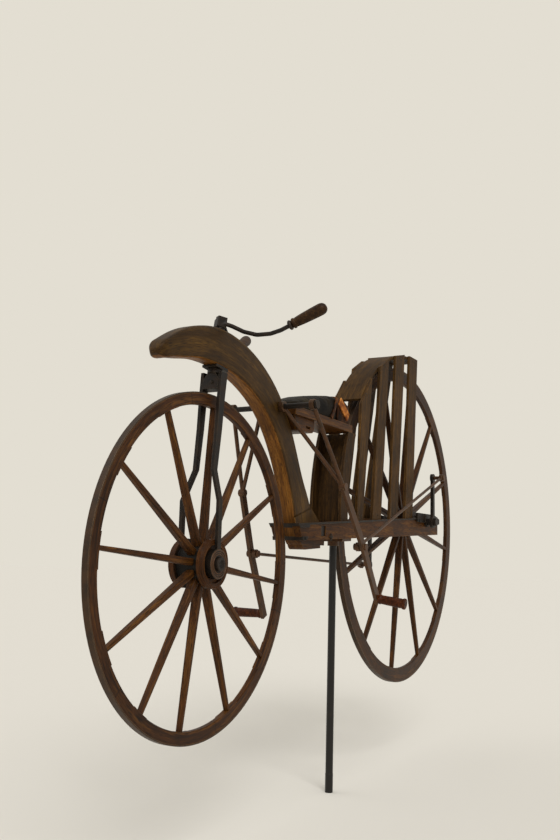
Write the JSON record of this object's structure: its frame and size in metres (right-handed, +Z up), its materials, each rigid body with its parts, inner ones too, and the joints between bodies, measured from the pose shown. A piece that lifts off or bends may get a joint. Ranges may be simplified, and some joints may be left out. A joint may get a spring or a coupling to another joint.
{
  "type": "treadle bicycle",
  "caption": "Wooden treadle-driven bicycle with a curved neck beam, large spoked rear wheel under slatted guards and a smaller steered front wheel, on its display post.",
  "frame": {"origin": "foot of the display post, at the post's centre on the floor", "axes": "+X forward, +Y to the rider's left, +Z up"},
  "size_m": [2.1454, 0.5139, 1.3492],
  "materials": {
    "frame_wood": "old dark varnish, satin",
    "board_wood": "dark, dull",
    "wheel_wood": "old dark varnish, satin",
    "tyre_iron": "worn, brown patina",
    "black_iron": "black, satin",
    "ferrule_brass": "dull",
    "turned_wood": "polished by hand",
    "pad_leather": "black, worn",
    "post_metal": "black, satin"
  },
  "bodies": {
    "frame": {"neck_beam": "frame_wood", "rail_left": "frame_wood", "rail_right": "frame_wood", "upper_strap": "black_iron", "lower_strap": "black_iron", "cross_key": "black_iron", "foot_block": "frame_wood", "bearing_left": "black_iron", "bearing_right": "black_iron", "mudguard": "board_wood", "wheel_shield": "board_wood", "shield_cheeks": "board_wood", "slats_left": "board_wood", "slats_right": "board_wood", "seat_board": "frame_wood", "seat_bracket": "frame_wood", "seat_pad": "pad_leather", "thrust_plate": "black_iron", "treadle_axle": "black_iron", "post_plate": "post_metal", "post": "post_metal"},
    "steering": {"fork_crown": "black_iron", "blade_left": "black_iron", "blade_right": "black_iron", "front_axle": "black_iron", "handlebar": "black_iron", "stem_nut": "black_iron", "ferrules": "ferrule_brass", "grip_left": "turned_wood", "grip_right": "turned_wood"},
    "front_wheel": {"front_tyre": "tyre_iron", "front_rim": "wheel_wood", "front_spokes": "wheel_wood", "front_hub": "black_iron"},
    "rear_wheel": {"rear_tyre": "tyre_iron", "rear_rim": "wheel_wood", "rear_spokes": "wheel_wood", "rear_hub": "wheel_wood", "rear_hub_bands": "black_iron", "rear_axle": "black_iron", "crank_left": "black_iron", "crank_right": "black_iron"},
    "treadle_left": {"lever_left": "black_iron", "pedal_left": "turned_wood"},
    "treadle_right": {"lever_right": "black_iron", "pedal_right": "turned_wood"},
    "rod_left": {"rod_left": "black_iron"},
    "rod_right": {"rod_right": "black_iron"}
  },
  "joints": [
    {"name": "steering_turn", "type": "hinge", "parent": "frame", "child": "steering", "pos_m": [0.661, 0, 1.034], "axis": [-0.1253, 0, 0.9921], "range_deg": [-18, 18]},
    {"name": "front_wheel_spin", "type": "hinge", "parent": "steering", "child": "front_wheel", "pos_m": [0.683, 0, 0.621], "axis": [0, 1, 0], "continuous": true},
    {"name": "rear_wheel_spin", "type": "hinge", "parent": "frame", "child": "rear_wheel", "pos_m": [-0.548, 0, 0.7734], "axis": [0, 1, 0], "continuous": true},
    {"name": "treadle_left_swing", "type": "hinge", "parent": "frame", "child": "treadle_left", "pos_m": [0.382, 0, 1.022], "axis": [0, -1, 0], "range_deg": [-20.3, 26.2]},
    {"name": "rod_left_swing", "type": "hinge", "parent": "treadle_left", "child": "rod_left", "pos_m": [0.15161, 0.146, 0.67322], "axis": [0, -1, 0], "range_deg": [-26.7, 20.8]},
    {"name": "treadle_right_swing", "type": "hinge", "parent": "frame", "child": "treadle_right", "pos_m": [0.382, 0, 1.022], "axis": [0, -1, 0], "range_deg": [-27.1, 19.4]},
    {"name": "rod_right_swing", "type": "hinge", "parent": "treadle_right", "child": "rod_right", "pos_m": [0.19458, -0.146, 0.64837], "axis": [0, -1, 0], "range_deg": [-19.9, 27.6]}
  ],
  "couplings": [
    {"joint": "rod_left_swing", "follows": "treadle_left_swing", "ratio": -1},
    {"joint": "rod_right_swing", "follows": "treadle_right_swing", "ratio": -1}
  ]
}
